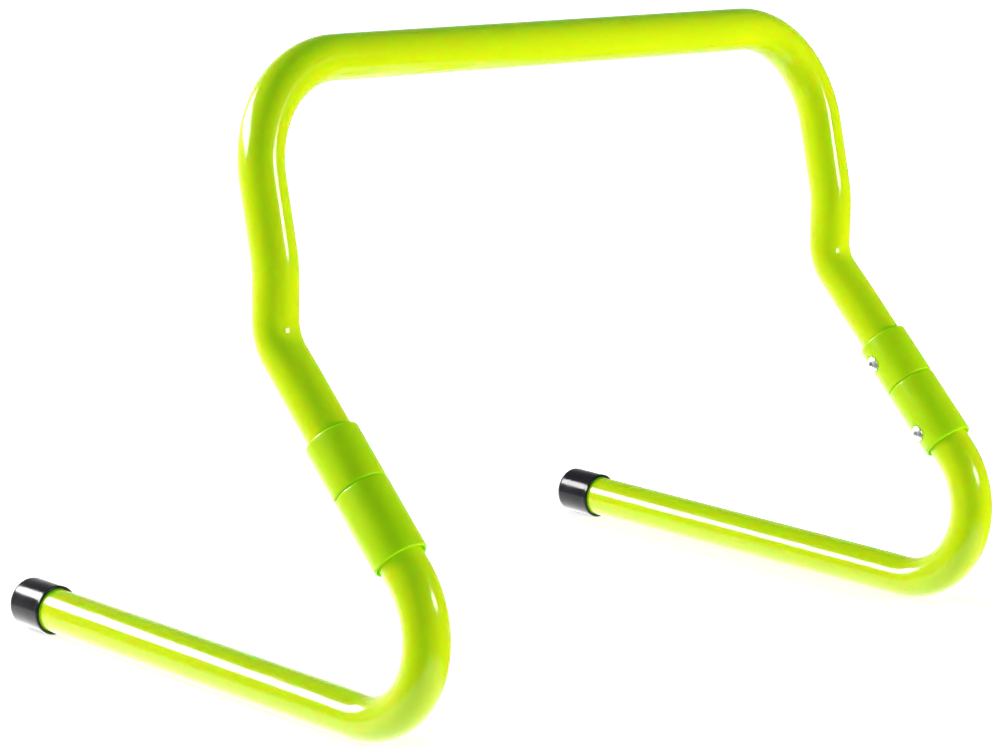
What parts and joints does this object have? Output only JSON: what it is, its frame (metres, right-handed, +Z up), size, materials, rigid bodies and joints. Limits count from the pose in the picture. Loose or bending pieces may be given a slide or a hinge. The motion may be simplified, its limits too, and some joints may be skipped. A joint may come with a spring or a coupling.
{
  "type": "agility hurdle",
  "caption": "Low free-standing agility hurdle: a bent tube hoop on J-shaped feet that swivel at collars on the slanted legs for storage.",
  "frame": {"origin": "on the floor, in the middle of the hurdle's width and depth", "axes": "+X along the top bar, -Y to the front where the feet bend, +Y to the rear where they end in caps, +Z up"},
  "size_m": [0.4048, 0.2888, 0.2976],
  "materials": {
    "lime_tube": "glossy fluorescent lime",
    "green_collar": "satin moulded",
    "black_cap": "glossy",
    "rivet_aluminium": "bright, as pressed",
    "plated_steel": "zinc plated",
    "nylon_washer": "natural nylon"
  },
  "bodies": {
    "hoop": {"hoop_tube": "lime_tube", "left_upper_collar": "green_collar", "left_upper_rivet": "rivet_aluminium", "left_upper_rivet_mandrel": "plated_steel", "left_pivot_bolt": "plated_steel", "left_bolt_washer": "plated_steel", "left_swivel_washer": "nylon_washer", "left_nut_washer": "plated_steel", "left_spring_washer": "plated_steel", "left_lock_nut": "plated_steel", "right_upper_collar": "green_collar", "right_upper_rivet": "rivet_aluminium", "right_upper_rivet_mandrel": "plated_steel", "right_pivot_bolt": "plated_steel", "right_bolt_washer": "plated_steel", "right_swivel_washer": "nylon_washer", "right_nut_washer": "plated_steel", "right_spring_washer": "plated_steel", "right_lock_nut": "plated_steel"},
    "left_foot": {"left_foot_tube": "lime_tube", "left_lower_collar": "green_collar", "left_lower_rivet": "rivet_aluminium", "left_lower_rivet_mandrel": "plated_steel", "left_end_cap": "black_cap"},
    "right_foot": {"right_foot_tube": "lime_tube", "right_lower_collar": "green_collar", "right_lower_rivet": "rivet_aluminium", "right_lower_rivet_mandrel": "plated_steel", "right_end_cap": "black_cap"}
  },
  "joints": [
    {"name": "left_foot_swivel", "type": "hinge", "parent": "hoop", "child": "left_foot", "pos_m": [-0.1898, -0.0907, 0.11172], "axis": [0, 0.7071, 0.7071], "range_deg": [0, 180]},
    {"name": "right_foot_swivel", "type": "hinge", "parent": "hoop", "child": "right_foot", "pos_m": [0.1898, -0.0907, 0.11172], "axis": [0, -0.7071, -0.7071], "range_deg": [0, 180]}
  ]
}
